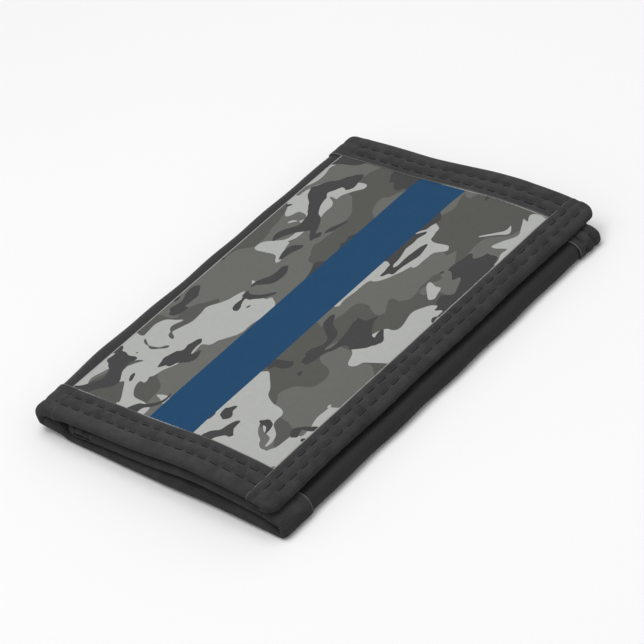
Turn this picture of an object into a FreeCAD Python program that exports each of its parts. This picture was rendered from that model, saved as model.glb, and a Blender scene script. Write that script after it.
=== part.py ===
# Trifold wallet in coated nylon, shown folded shut and lying on its back.
# Three panels in a row: the centre lies on the table, the leaf folds over it from the right, and
# the flap, with the printed panel, folds over both from the left and closes on hook and loop.
# Millimetres. +X runs from the left fold to the right fold, +Y along the folds, +Z is up, and the
# origin is the middle of the underside.
import FreeCAD, Part
import Sketcher
import math
import os
import re

os.makedirs("parts", exist_ok=True)
V = FreeCAD.Vector
doc = FreeCAD.newDocument("trifold_wallet")

# Sizes: each size that can be set by itself is one number here, and every other cell is a formula.
sheet = doc.addObject("Spreadsheet::Sheet", "sizes")
SIZES = [
    ("length", "120.65"),             # along the folds
    ("width", "85"),                  # closed, over both folds
    ("tape_wide", "9.5"),             # binding tape, each side of the edge
    ("edge_tape_wide", "6.8"),        # the same tape on the flap's free edge, set further out
    ("tape_thick", "0.35"),
    ("cloth", "0.5"),                 # outer nylon
    ("lining", "0.3"),
    ("pocket_cloth", "0.25"),
    ("note_gap", "0.2"),              # note compartment, lying flat and empty
    ("ply_gap", "0.4"),               # between the leaf and the centre, at the leaf's free edge
    ("edge_back", "2.2"),             # flap's free edge, back from the right fold
    ("crest_back", "23"),             # highest line of the flap, back from its free edge
    ("rise_start", "0.6"),            # slope of the flap at the left fold, degrees
    ("rise_end", "4.2"),              # steepest slope of the flap, degrees
    ("crown_radius", "110"),          # droop of the flap over the closure
    ("flap_corner", "2.5"),
    ("leaf_back", "10.2"),            # leaf's free edge, in from the left fold
    ("print_sink", "0.15"),           # printed cloth lies this far below the tape's face
    ("print_inset", "1.6"),           # plain nylon left beside the left fold
    ("seam_gap", "0.15"),             # between neighbours sewn on one panel
    ("hook_wide", "10"),
    ("hook_inset", "3.3"),            # strips stop short of the end tapes by this
    ("hook_thick", "0.9"),
    ("loop_thick", "0.7"),
    ("hook_gap", "0.3"),
    ("zip_back", "27.3"),             # zip's line, back from the flap's free edge
    ("zip_inset", "4.8"),             # teeth stop short of the end tapes by this
    ("zip_tape_wide", "6.5"),
    ("zip_tape_thick", "0.25"),
    ("chain_thick", "0.55"),
    ("chain_sink", "0.1"),            # top of the teeth below the pocket's front
    ("cord_wide", "0.9"),
    ("cord_apart", "1.2"),
    ("tooth_pitch", "1.3"),
    ("tooth_thick", "0.52"),
    ("tooth_reach", "0.4"),           # past the middle of the zip
    ("slider_long", "7.5"),
    ("slider_wide", "5"),
    ("slider_taper", "0.7"),
    ("wing_thick", "0.35"),
    ("wing_gap", "0.2"),              # between teeth and wings
    ("slider_gap", "0.15"),           # between the slider and the cloth behind it
    ("slit_gap", "0.5"),              # between the slider and the pocket's edges
    ("post_wide", "1"),
    ("post_long", "1.2"),
    ("bridge_wide", "0.9"),
    ("bridge_wall", "0.25"),
    ("bridge_leg", "0.6"),
    ("pin_thick", "0.45"),
    ("pin_gap", "0.1"),
    ("pull_wide", "3.6"),
    ("pull_long", "16"),
    ("pull_arm", "0.8"),
    ("pull_eye", "2.6"),
    ("pull_corner", "1.2"),
    ("stop_long", "1.4"),
    ("window_margin", "6"),
    ("window_thick", "0.15"),
    ("id_pocket_high", "92"),
    ("card_pocket_high", "78"),
    ("card_step", "14"),
]
FORMULAS = [
    ("half_long", "=length / 2"),
    ("half_wide", "=width / 2"),
    ("tape_mid", "=half_long - tape_wide"),
    ("inner_end", "=half_long - tape_thick"),
    # heights in the centre panel, up from the table
    ("shell_top", "=tape_thick + cloth"),
    ("lining_low", "=shell_top + note_gap"),
    ("lining_top", "=lining_low + lining"),
    ("centre_high", "=lining_top + 2 * pocket_cloth"),
    # levels in the flap and the leaf, measured square to the flap's outer face
    ("flap_shell_low", "=-tape_thick - cloth"),
    ("flap_lining_top", "=flap_shell_low - note_gap"),
    ("flap_lining_low", "=flap_lining_top - lining"),
    ("flap_low", "=flap_lining_low - tape_thick"),
    ("hook_low", "=flap_lining_low - hook_thick"),
    ("loop_top", "=hook_low - hook_gap"),
    ("front_top", "=loop_top - loop_thick"),
    ("front_low", "=front_top - pocket_cloth"),
    ("leaf_top", "=front_top + tape_thick"),
    ("chain_top", "=front_top - chain_sink"),
    ("chain_low", "=chain_top - chain_thick"),
    ("wing_low", "=chain_low - wing_gap - wing_thick"),
    ("leaf_shell_top", "=wing_low - slider_gap"),
    ("leaf_shell_low", "=leaf_shell_top - cloth"),
    ("leaf_lining_top", "=leaf_shell_low - seam_gap"),
    ("leaf_lining_low", "=leaf_lining_top - lining"),
    ("leaf_low", "=leaf_lining_low - tape_thick"),
    # the flap's outer face: a hollow arc from the left fold, then a crowned one to the free edge
    ("left_radius", "=(centre_high + ply_gap - leaf_low) / 2"),
    ("left_x", "=left_radius - half_wide"),
    ("flap_edge", "=half_wide - edge_back"),
    ("crest_x", "=flap_edge - crest_back"),
    ("bend_x", "=crest_x - crown_radius * sin(rise_end * 1deg)"),
    ("sag_radius", "=(bend_x - left_x) / (sin(rise_end * 1deg) - sin(rise_start * 1deg))"),
    ("sag_x", "=left_x - sag_radius * sin(rise_start * 1deg)"),
    ("sag_z", "=2 * left_radius + sag_radius * cos(rise_start * 1deg)"),
    ("crown_z", "=sag_z - (sag_radius + crown_radius) * cos(rise_end * 1deg)"),
    ("right_radius", "=(crown_z + sqrt((crown_radius + leaf_top) ^ 2 - crest_back ^ 2)) / 2"),
    ("right_x", "=half_wide - right_radius"),
    ("leaf_edge", "=leaf_back - half_wide"),
    ("hook_long", "=2 * (tape_mid - hook_inset)"),
    ("hook_end", "=flap_edge - edge_tape_wide - seam_gap"),
    ("hook_start", "=hook_end - hook_wide"),
    # the zip lies flat at its own line
    ("zip_long", "=2 * (tape_mid - zip_inset)"),
    ("zip_x", "=flap_edge - zip_back"),
    ("zip_z", "=crown_z + sqrt(crown_radius ^ 2 - (zip_x - crest_x) ^ 2)"),
    ("teeth_z", "=zip_z + chain_low"),
    ("wing_z", "=zip_z + chain_top + wing_gap"),
    ("pin_z", "=wing_z + wing_thick + pin_gap + pin_thick / 2"),
    ("bridge_z", "=pin_z + pin_thick / 2 + pin_gap + bridge_wall"),
    ("teeth_start", "=-zip_long / 2"),
    ("slider_front", "=teeth_start - post_long - 2 * wing_gap"),
    ("slider_mid", "=slider_front + slider_long / 2"),
    ("slit_half", "=slider_wide / 2 + slit_gap"),
]
for number, (name, value) in enumerate(SIZES + FORMULAS, 1):
    sheet.set("A%d" % number, name)
    sheet.set("B%d" % number, value)
    sheet.setAlias("B%d" % number, name)
doc.recompute()
ALIASES = re.compile(r"\b(" + "|".join(name for name, value in SIZES + FORMULAS) + r")\b")
PARTS = []


def tie(text):
    """An expression in the sheet's names, as other objects of the document write it."""
    return ALIASES.sub(r"sizes.\1", text)


def value(text):
    return float(sheet.evalExpression(tie(text)))


def new_body(label):
    body = doc.addObject("PartDesign::Body", label)
    body.Label = label
    PARTS.append(body)
    return body


def new_sketch(body, role, offset, shift=None):
    """A sketch on one of the body's own planes, moved along the plane's normal."""
    plane = [f for f in body.Origin.OriginFeatures if f.Role == role][0]
    sketch = body.newObject("Sketcher::SketchObject", body.Label + "_sketch")
    sketch.AttachmentSupport = [(plane, "")]
    sketch.MapMode = "FlatFace"
    sketch.setExpression("AttachmentOffset.Base.z", tie(offset))
    if shift:
        sketch.setExpression("AttachmentOffset.Base.y", tie(shift))
    return sketch


def hold(sketch, edge, end, x, y):
    """Fixes one end of an edge at a pair of expressions."""
    for kind, text in (("DistanceX", x), ("DistanceY", y)):
        n = sketch.addConstraint(Sketcher.Constraint(kind, -1, 1, edge, end, value(text)))
        sketch.setExpression("Constraints[%d]" % n, tie(text))


def outline(sketch, points):
    """A closed outline of straight edges through points given as pairs of expressions."""
    spots = [V(value(x), value(y), 0) for x, y in points]
    count = len(spots)
    edges = [sketch.addGeometry(Part.LineSegment(spots[i], spots[(i + 1) % count]), False)
             for i in range(count)]
    for i in range(count):
        sketch.addConstraint(Sketcher.Constraint("Coincident", edges[i], 2, edges[(i + 1) % count], 1))
        hold(sketch, edges[i], 1, *points[i])


def circle(sketch, x, y, radius):
    ring = sketch.addGeometry(Part.Circle(V(value(x), value(y), 0), V(0, 0, 1), value(radius)), False)
    hold(sketch, ring, 3, x, y)
    n = sketch.addConstraint(Sketcher.Constraint("Radius", ring, value(radius)))
    sketch.setExpression("Constraints[%d]" % n, tie(radius))


def sag_height(x, level):
    return "sag_z - sqrt((sag_radius - (%s)) ^ 2 - ((%s) - sag_x) ^ 2)" % (level, x)


def crown_height(x, level):
    return "crown_z + sqrt((crown_radius + (%s)) ^ 2 - ((%s) - crest_x) ^ 2)" % (level, x)


def face_points(start, end, level):
    """Corners of the panel's face at a level, left to right, and the arcs between them."""
    bend = "sag_x + (sag_radius - (%s)) * sin(rise_end * 1deg)" % level
    points, arcs = [], []
    if value(start) < value(bend):
        points.append((start, sag_height(start, level)))
        arcs.append("sag")
        if value(end) > value(bend):
            points.append((bend, sag_height(bend, level)))
            arcs.append("crown")
            points.append((end, crown_height(end, level)))
        else:
            points.append((end, sag_height(end, level)))
    else:
        points = [(start, crown_height(start, level)), (end, crown_height(end, level))]
        arcs.append("crown")
    return points, arcs


def face_arc(sketch, kind, left, right, level):
    """One arc of a panel's face. Returns the edge and its left and right end numbers."""
    sag = kind == "sag"
    middle = ("sag_x", "sag_z") if sag else ("crest_x", "crown_z")
    radius = "sag_radius - (%s)" % level if sag else "crown_radius + (%s)" % level
    centre = V(value(middle[0]), value(middle[1]), 0)
    turns = [math.atan2(value(y) - centre.y, value(x) - centre.x) for x, y in (left, right)]
    ring = Part.Circle(centre, V(0, 0, 1), value(radius))
    first, last = turns if sag else (turns[1], turns[0])
    edge = sketch.addGeometry(Part.ArcOfCircle(ring, first, last), False)
    n = sketch.addConstraint(Sketcher.Constraint("Radius", edge, value(radius)))
    sketch.setExpression("Constraints[%d]" % n, tie(radius))
    return (edge, 1, 2) if sag else (edge, 2, 1)


def layer_outline(sketch, start, end, top, low):
    """Section of a layer that follows the panel's face between two levels."""
    chain = []
    for level, turned in ((top, False), (low, True)):
        points, arcs = face_points(start, end, level)
        made = []
        for i, kind in enumerate(arcs):
            edge, left, right = face_arc(sketch, kind, points[i], points[i + 1], level)
            made.append((edge, left, right, points[i], points[i + 1]))
        if turned:
            made = [(e, b, a, q, p) for e, a, b, p, q in reversed(made)]
        if chain:
            chain.append(None)
        chain += made
    chain.append(None)
    count = len(chain)
    for i in range(count):
        if chain[i] is None:
            before, after = chain[i - 1], chain[(i + 1) % count]
            ends = [V(value(x), value(y), 0) for x, y in (before[4], after[3])]
            line = sketch.addGeometry(Part.LineSegment(*ends), False)
            chain[i] = (line, 1, 2, before[4], after[3])
    for i in range(count):
        here, after = chain[i], chain[(i + 1) % count]
        sketch.addConstraint(Sketcher.Constraint("Coincident", here[0], here[2], after[0], after[1]))
        hold(sketch, here[0], here[1], *here[3])


def pad(body, sketch, thick, kind="Pad", turned=False, middle=False):
    feature = body.newObject("PartDesign::" + kind, body.Label + "_" + kind.lower())
    feature.Profile = sketch
    feature.setExpression("Length", tie(thick))
    feature.Reversed = turned
    feature.Midplane = middle
    return feature


def layer(label, start, end, top, low, near, far):
    """A cloth layer of the flap or the leaf, curved with it."""
    body = new_body(label)
    sketch = new_sketch(body, "XZ_Plane", "-(%s)" % near)
    layer_outline(sketch, start, end, top, low)
    pad(body, sketch, "(%s) - (%s)" % (far, near), turned=True)
    return body


def sheet_of(label, x, y, low, thick):
    """A flat rectangular cloth: x and y are pairs of limits."""
    body = new_body(label)
    sketch = new_sketch(body, "XY_Plane", low)
    outline(sketch, [(x[0], y[0]), (x[1], y[0]), (x[1], y[1]), (x[0], y[1])])
    pad(body, sketch, thick)
    return body


def upright_edges(body, spots):
    """Names of the body's edges that stand along Z at the given places."""
    doc.recompute()
    found = []
    for n, edge in enumerate(body.Shape.Edges, 1):
        low, high = edge.BoundBox, edge.CenterOfMass
        upright = low.XLength < 0.01 and low.YLength < 0.01
        if upright and any(abs(high.x - a) < 0.01 and abs(high.y - b) < 0.01 for a, b in spots):
            found.append("Edge%d" % n)
    return found


def round_corners(body, x, y, radius):
    """Rounds the two corners of a sheet at one x, near and far."""
    spots = [(value(x), value(y)), (value(x), -value(y))]
    base, names = body.Tip, upright_edges(body, spots)
    feature = body.newObject("PartDesign::Fillet", body.Label + "_corners")
    feature.Base = (base, names)
    feature.setExpression("Radius", tie(radius))
    return feature


def end_tape(label, start, end, top, low, far, inner_top, inner_low):
    """Tape folded over the near or far edge of a curved panel."""
    body = new_body(label)
    side = "half_long" if far else "-half_long"
    sketch = new_sketch(body, "XZ_Plane", "-(%s)" % side)
    layer_outline(sketch, start, end, top, low)
    pad(body, sketch, "tape_wide", turned=not far)
    mouth = "tape_mid" if far else "-tape_mid"
    slot = new_sketch(body, "XZ_Plane", "-(%s)" % mouth)
    layer_outline(slot, start, end, inner_top, inner_low)
    pad(body, slot, "tape_wide - tape_thick", "Pocket", turned=not far)
    return body


def side_tape(label, edge, inward, wide, top, low, inner_top, inner_low, corner=None):
    """Tape folded over a free edge that runs along Y, closed at both ends over the corners."""
    body = new_body(label)
    inner = "%s + (%s) * %s" % (edge, inward, wide)
    web = "%s + (%s) * tape_thick" % (edge, inward)
    limits = sorted([edge, inner], key=value)
    sketch = new_sketch(body, "XZ_Plane", "0")
    layer_outline(sketch, limits[0], limits[1], top, low)
    pad(body, sketch, "length", middle=True)
    if corner:
        round_corners(body, edge, "half_long", corner)
    limits = sorted([web, inner], key=value)
    slot = new_sketch(body, "XZ_Plane", "0")
    layer_outline(slot, limits[0], limits[1], inner_top, inner_low)
    pad(body, slot, "2 * inner_end", "Pocket", middle=True)
    return body


def flat_tape(label, far, high):
    """Tape folded over the near or far edge of the centre panel."""
    body = new_body(label)
    sketch = new_sketch(body, "YZ_Plane", "left_x")
    sign = "" if far else "-"
    ends = [sign + "half_long", sign + "inner_end", sign + "tape_mid"]
    wall = "%s - tape_thick" % high
    outline(sketch, [(ends[0], "0"), (ends[2], "0"), (ends[2], "tape_thick"), (ends[1], "tape_thick"),
                     (ends[1], wall), (ends[2], wall), (ends[2], high), (ends[0], high)])
    pad(body, sketch, "right_x - left_x")
    return body


def turn(body, sketch, turned):
    feature = body.newObject("PartDesign::Revolution", body.Label + "_turn")
    feature.Profile = sketch
    feature.ReferenceAxis = (sketch, ["H_Axis"])
    feature.Angle = 180
    feature.Reversed = turned
    return feature


def fold_cloth(label, plane_x, radius, turned):
    """Nylon that runs round a fold between two panels, under the tape."""
    body = new_body(label)
    sketch = new_sketch(body, "YZ_Plane", plane_x, radius)
    outer, inner = "tape_thick - " + radius, "tape_thick + cloth - " + radius
    outline(sketch, [("-inner_end", outer), ("inner_end", outer),
                     ("inner_end", inner), ("-inner_end", inner)])
    turn(body, sketch, turned)
    return body


def fold_tape(label, plane_x, radius, turned, far):
    """Tape over the edge of a fold's nylon: a channel turned half round the fold's axis."""
    body = new_body(label)
    sketch = new_sketch(body, "YZ_Plane", plane_x, radius)
    sign = "" if far else "-"
    ends = [sign + "half_long", sign + "inner_end", sign + "tape_mid"]
    steps = ["-" + radius, "tape_thick - " + radius, "tape_thick + cloth - " + radius,
             "2 * tape_thick + cloth - " + radius]
    outline(sketch, [(ends[0], steps[0]), (ends[2], steps[0]), (ends[2], steps[1]), (ends[1], steps[1]),
                     (ends[1], steps[2]), (ends[2], steps[2]), (ends[2], steps[3]), (ends[0], steps[3])])
    turn(body, sketch, turned)
    return body


# Centre panel: outer nylon, lining and two card pockets, flat on the table. The note compartment
# is open along the far end, so there the tape binds the outer nylon alone.
sheet_of("shell_centre", ("left_x", "right_x"), ("-inner_end", "inner_end"), "tape_thick", "cloth")
sheet_of("lining_centre", ("left_x", "right_x"), ("-inner_end", "tape_mid - seam_gap"),
         "lining_low", "lining")
sheet_of("card_pocket_centre_back", ("left_x + seam_gap", "right_x - seam_gap"),
         ("seam_gap - tape_mid", "card_pocket_high - tape_mid"), "lining_top", "pocket_cloth")
sheet_of("card_pocket_centre_front", ("left_x + seam_gap", "right_x - seam_gap"),
         ("seam_gap - tape_mid", "card_pocket_high - card_step - tape_mid"),
         "lining_top + pocket_cloth", "pocket_cloth")
flat_tape("binding_centre_near", False, "(lining_top + tape_thick)")
flat_tape("binding_centre_far", True, "(shell_top + tape_thick)")

# The two folds: nylon and its tape at each end, bent half round.
fold_cloth("fold_left", "left_x", "left_radius", False)
fold_tape("fold_left_tape_near", "left_x", "left_radius", False, False)
fold_tape("fold_left_tape_far", "left_x", "left_radius", False, True)
fold_cloth("fold_right", "right_x", "right_radius", True)
fold_tape("fold_right_tape_near", "right_x", "right_radius", True, False)
fold_tape("fold_right_tape_far", "right_x", "right_radius", True, True)

# Flap: printed cloth on the outer nylon, lining, a clear identity window and the hook strip.
shell = layer("shell_flap", "left_x", "flap_edge - tape_thick", "-tape_thick", "flap_shell_low",
              "-inner_end", "inner_end")
round_corners(shell, "flap_edge - tape_thick", "inner_end", "flap_corner - tape_thick")
layer("printed_panel", "left_x + print_inset", "flap_edge - edge_tape_wide - seam_gap",
      "-print_sink", "-tape_thick", "seam_gap - tape_mid", "tape_mid - seam_gap")
layer("lining_flap", "left_x", "flap_edge - edge_tape_wide - seam_gap",
      "flap_lining_top", "flap_lining_low", "-inner_end", "tape_mid - seam_gap")
end_tape("binding_flap_near", "left_x", "flap_edge - edge_tape_wide", "0", "flap_low", False,
         "-tape_thick", "flap_lining_low")
end_tape("binding_flap_far", "left_x", "flap_edge - edge_tape_wide", "0", "flap_shell_low - tape_thick",
         True, "-tape_thick", "flap_shell_low")
side_tape("binding_flap_edge", "flap_edge", "-1", "edge_tape_wide", "0", "flap_low",
          "-tape_thick", "flap_lining_low", "flap_corner")
layer("hook_strip", "hook_start", "hook_end", "flap_lining_low", "hook_low",
      "-hook_long / 2", "hook_long / 2")

FRAME_X = ("left_x + print_inset", "hook_start - seam_gap")
FRAME_Y = ("seam_gap - tape_mid", "id_pocket_high - tape_mid")
OPEN_X = ("left_x + print_inset + window_margin", "hook_start - seam_gap - window_margin")
OPEN_Y = ("window_margin - tape_mid", "id_pocket_high - tape_mid - window_margin")
frame = layer("id_pocket_frame", *FRAME_X, "flap_lining_low", "flap_lining_low - pocket_cloth", *FRAME_Y)
hole = new_sketch(frame, "XY_Plane", "0")
outline(hole, [(OPEN_X[0], OPEN_Y[0]), (OPEN_X[1], OPEN_Y[0]),
               (OPEN_X[1], OPEN_Y[1]), (OPEN_X[0], OPEN_Y[1])])
cut = pad(frame, hole, "4 * left_radius", "Pocket", turned=True)
layer("id_window", OPEN_X[0] + " + seam_gap", OPEN_X[1] + " - seam_gap", "flap_lining_low",
      "flap_lining_low - window_thick", OPEN_Y[0] + " + seam_gap", OPEN_Y[1] + " - seam_gap")

# Leaf: the coin pocket's front in two parts with the zip between them, over the outer nylon,
# the lining and one card pocket. The loop strip lies beside the zip, under the hooks.
layer("coin_pocket_front", "leaf_edge + tape_thick", "zip_x - slit_half", "front_top", "front_low",
      "-inner_end", "inner_end")
layer("coin_pocket_side", "zip_x + slit_half", "right_x", "front_top", "front_low", "-inner_end", "inner_end")
layer("loop_strip", "hook_start", "hook_end", "loop_top", "front_top", "-hook_long / 2", "hook_long / 2")
layer("shell_leaf", "leaf_edge + tape_thick", "right_x", "leaf_shell_top", "leaf_shell_low",
      "-inner_end", "inner_end")
layer("lining_leaf", "leaf_edge + tape_thick", "right_x", "leaf_lining_top", "leaf_lining_low",
      "-inner_end", "tape_mid - seam_gap")
layer("card_pocket_leaf", "leaf_edge + tape_wide + seam_gap", "right_x - tape_wide / 2", "leaf_lining_low",
      "leaf_lining_low - pocket_cloth", "seam_gap - tape_mid", "card_pocket_high - tape_mid")
end_tape("binding_leaf_near", "leaf_edge + tape_wide", "right_x", "leaf_top", "leaf_low", False,
         "front_top", "leaf_lining_low")
end_tape("binding_leaf_far", "leaf_edge + tape_wide", "right_x", "leaf_top", "leaf_shell_low - tape_thick",
         True, "front_top", "leaf_shell_low")
side_tape("binding_leaf_edge", "leaf_edge", "1", "tape_wide", "leaf_top", "leaf_low",
          "front_top", "leaf_lining_low")

# Zip: two woven tapes, each with a cord that carries a row of teeth. The rows are half a pitch
# apart, so that each tooth stands between two of the other row.
TAPE_Y = ("-inner_end", "inner_end")
CORD = "(cord_apart / 2 + cord_wide)"
layer("zip_tape_left", "zip_x - %s - zip_tape_wide" % CORD, "zip_x - %s" % CORD,
      "front_low", "front_low - zip_tape_thick", *TAPE_Y)
layer("zip_tape_right", "zip_x + %s" % CORD, "zip_x + %s + zip_tape_wide" % CORD,
      "front_low", "front_low - zip_tape_thick", *TAPE_Y)


def teeth(label, sign, lag):
    """Cord along one side of the zip with its row of teeth."""
    body = new_body(label)
    side = "zip_x + (%s) * " % sign
    cord = sorted([side + "cord_apart / 2", side + CORD], key=value)
    sketch = new_sketch(body, "XY_Plane", "teeth_z")
    outline(sketch, [(cord[0], "teeth_start"), (cord[1], "teeth_start"),
                     (cord[1], "-teeth_start"), (cord[0], "-teeth_start")])
    pad(body, sketch, "chain_thick")
    reach = sorted([side + "(-tooth_reach)", side + "(cord_apart / 2 + cord_wide / 4)"], key=value)
    first = "teeth_start + %s * tooth_pitch" % lag
    tooth = new_sketch(body, "XY_Plane", "teeth_z + chain_thick / 8")
    outline(tooth, [(reach[0], first), (reach[1], first),
                    (reach[1], first + " + tooth_thick"), (reach[0], first + " + tooth_thick")])
    one = pad(body, tooth, "chain_thick * 3 / 4")
    row = body.newObject("PartDesign::LinearPattern", label + "_row")
    row.Originals = [one]
    row.Direction = (tooth, ["V_Axis"])
    count = int(value("zip_long / tooth_pitch")) - 1
    row.setExpression("Length", tie("%d * tooth_pitch" % (count - 1)))
    row.Occurrences = count
    body.Tip = row
    return body


teeth("zip_teeth_left", "-1", "0.25")
teeth("zip_teeth_right", "1", "0.75")

stops = new_body("zip_stops")
for x, y in (("zip_x - %s" % CORD, "slider_front - stop_long - 2 * wing_gap"),
             ("zip_x + cord_apart / 2", "slider_front - stop_long - 2 * wing_gap")):
    sketch = new_sketch(stops, "XY_Plane", "teeth_z")
    outline(sketch, [(x, y), (x + " + cord_wide", y), (x + " + cord_wide", y + " + stop_long"),
                     (x, y + " + stop_long")])
    pad(stops, sketch, "chain_thick")
sketch = new_sketch(stops, "XY_Plane", "teeth_z")
end_y = "-teeth_start + wing_gap"
outline(sketch, [("zip_x - " + CORD, end_y), ("zip_x + " + CORD, end_y),
                 ("zip_x + " + CORD, end_y + " + stop_long"), ("zip_x - " + CORD, end_y + " + stop_long")])
pad(stops, sketch, "chain_thick")
stops.AllowCompound = True

# Slider: two wings joined by the post that parts the teeth, and a bridge that holds the pull.
slider = new_body("zip_slider")
WING = [("zip_x - slider_wide / 2 + slider_taper", "slider_front"),
        ("zip_x + slider_wide / 2 - slider_taper", "slider_front"),
        ("zip_x + slider_wide / 2", "slider_front + slider_long / 3"),
        ("zip_x + slider_wide / 2 - slider_taper", "slider_front + slider_long"),
        ("zip_x - slider_wide / 2 + slider_taper", "slider_front + slider_long"),
        ("zip_x - slider_wide / 2", "slider_front + slider_long / 3")]
sketch = new_sketch(slider, "XY_Plane", "zip_z + wing_low")
outline(sketch, WING)
pad(slider, sketch, "wing_thick")
post_end, post_neck = "slider_front + post_long", "slider_front + post_long / 2"
sketch = new_sketch(slider, "XY_Plane", "zip_z + wing_low")
outline(sketch, [("zip_x - post_wide / 2", "slider_front"), ("zip_x + post_wide / 2", "slider_front"),
                 ("zip_x + post_wide / 2", post_neck), ("zip_x", post_end),
                 ("zip_x - post_wide / 2", post_neck)])
pad(slider, sketch, "wing_z - zip_z - wing_low + wing_thick")
sketch = new_sketch(slider, "XY_Plane", "wing_z")
outline(sketch, WING)
pad(slider, sketch, "wing_thick")
roof, seat = "bridge_z", "wing_z + wing_thick / 2"
eye = "(pin_thick / 2 + pin_gap)"
arch = new_sketch(slider, "YZ_Plane", "zip_x")
outline(arch, [("slider_mid - %s - bridge_leg" % eye, seat),
               ("slider_mid - " + eye, seat),
               ("slider_mid - " + eye, roof + " - bridge_wall"),
               ("slider_mid + " + eye, roof + " - bridge_wall"),
               ("slider_mid + " + eye, seat),
               ("slider_mid + %s + bridge_leg" % eye, seat),
               ("slider_mid + %s + bridge_leg / 2" % eye, roof),
               ("slider_mid - %s - bridge_leg / 2" % eye, roof)])
pad(slider, arch, "bridge_wide", middle=True)

# Pull: a flat tab with an eye, whose end bar runs through the bridge.
pull = new_body("zip_pull")
sketch = new_sketch(pull, "YZ_Plane", "zip_x")
circle(sketch, "slider_mid", "pin_z", "pin_thick / 2")
pad(pull, sketch, "pull_wide", middle=True)
start, finish = "slider_mid", "slider_mid + pull_long"
sketch = new_sketch(pull, "XY_Plane", "pin_z - pin_thick / 2")
outline(sketch, [("zip_x - pull_wide / 2", start), ("zip_x + pull_wide / 2", start),
                 ("zip_x + pull_wide / 2", finish), ("zip_x - pull_wide / 2", finish)])
pad(pull, sketch, "pin_thick")
eye_x, eye_y = "(pull_wide / 2 - pull_arm)", "slider_mid + pull_eye"
sketch = new_sketch(pull, "XY_Plane", "pin_z + pin_thick")
eye_start = "slider_mid + pin_thick / 2"
outline(sketch, [("zip_x - " + eye_x, eye_start), ("zip_x + " + eye_x, eye_start),
                 ("zip_x + " + eye_x, eye_y), ("zip_x - " + eye_x, eye_y)])
pad(pull, sketch, "2 * pin_thick", "Pocket")
spots = [(value("zip_x") + s * value("pull_wide") / 2, value(finish)) for s in (-1, 1)]
base, names = pull.Tip, upright_edges(pull, spots)
ends = pull.newObject("PartDesign::Fillet", "pull_corners")
ends.Base = (base, names)
ends.setExpression("Radius", tie("pull_corner"))

doc.recompute()
for thing in doc.Objects:
    if "Invalid" in thing.State or "Error" in thing.State:
        raise RuntimeError("%s failed: %s" % (thing.Name, thing.State))
for body in PARTS:
    if body.Shape.isNull() or not body.Shape.isValid() or not body.Shape.Solids:
        raise RuntimeError("%s has no sound shape" % body.Label)
for body in PARTS:
    body.Shape.exportStep("parts/%s.step" % body.Label)
    box = body.Shape.BoundBox
    print("%-26s %d solid, x %.2f %.2f, y %.2f %.2f, z %.2f %.2f, %.1f mm3" % (
        body.Label, len(body.Shape.Solids), box.XMin, box.XMax, box.YMin, box.YMax, box.ZMin, box.ZMax,
        body.Shape.Volume))
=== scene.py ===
import bmesh
import bpy
import math
from mathutils import Matrix, Vector


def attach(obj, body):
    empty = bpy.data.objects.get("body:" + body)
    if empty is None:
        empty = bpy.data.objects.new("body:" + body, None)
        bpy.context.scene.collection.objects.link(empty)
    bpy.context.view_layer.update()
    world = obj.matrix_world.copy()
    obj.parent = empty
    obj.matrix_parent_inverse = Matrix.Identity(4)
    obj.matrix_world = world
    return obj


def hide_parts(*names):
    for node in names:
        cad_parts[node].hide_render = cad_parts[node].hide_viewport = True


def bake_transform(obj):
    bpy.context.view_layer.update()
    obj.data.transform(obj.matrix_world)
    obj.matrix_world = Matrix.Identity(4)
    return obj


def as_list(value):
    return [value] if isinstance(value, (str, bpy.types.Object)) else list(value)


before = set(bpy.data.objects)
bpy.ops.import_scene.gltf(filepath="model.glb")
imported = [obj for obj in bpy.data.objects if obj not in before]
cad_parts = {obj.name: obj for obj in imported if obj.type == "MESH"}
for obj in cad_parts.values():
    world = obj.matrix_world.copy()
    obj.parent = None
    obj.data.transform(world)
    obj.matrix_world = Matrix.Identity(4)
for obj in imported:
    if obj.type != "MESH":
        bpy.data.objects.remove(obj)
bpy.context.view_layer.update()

# Outer nylon. The wallet is one long strip of coated nylon twill folded twice: the flap on top,
# round the left fold to the centre panel underneath, and round the right fold to the leaf between
# them. Every other cloth is sewn on that strip, so its line is worked out here, in millimetres.
MM = 0.001
HALF_LONG, HALF_WIDE = 60.325, 42.5
TAPE, CLOTH, THIN_CLOTH = 0.35, 0.5, 0.25
FLAP_EDGE, LEAF_EDGE = 40.3, -32.3
LEFT_R, RIGHT_R = 4.075, 2.522
LEFT_X, RIGHT_X = LEFT_R - HALF_WIDE, HALF_WIDE - RIGHT_R
CROWN_R, CREST_X, SLOPE_START, SLOPE_END = 110.0, 17.3, math.radians(0.6), math.radians(4.2)
BEND_X = CREST_X - CROWN_R * math.sin(SLOPE_END)
SAG_R = (BEND_X - LEFT_X) / (math.sin(SLOPE_END) - math.sin(SLOPE_START))
SAG_X = LEFT_X - SAG_R * math.sin(SLOPE_START)
SAG_Z = 2 * LEFT_R + SAG_R * math.cos(SLOPE_START)
CROWN_Z = SAG_Z - (SAG_R + CROWN_R) * math.cos(SLOPE_END)
LEAF_TOP = -2.9
FOLD_LAP = 3.0
FLAP, LEFT, CENTRE, RIGHT, LEAF = range(5)


def ease(value, low, high):
    k = min(1.0, max(0.0, (value - low) / (high - low)))
    return k * k * (3 - 2 * k)


def face_height(x, level=0.0):
    """Height of the flap's outer face at x, or of a layer that lies a level off it."""
    if x < BEND_X - level * math.sin(SLOPE_END):
        return SAG_Z - math.sqrt((SAG_R - level) ** 2 - (x - SAG_X) ** 2)
    return CROWN_Z + math.sqrt((CROWN_R + level) ** 2 - (x - CREST_X) ** 2)


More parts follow.
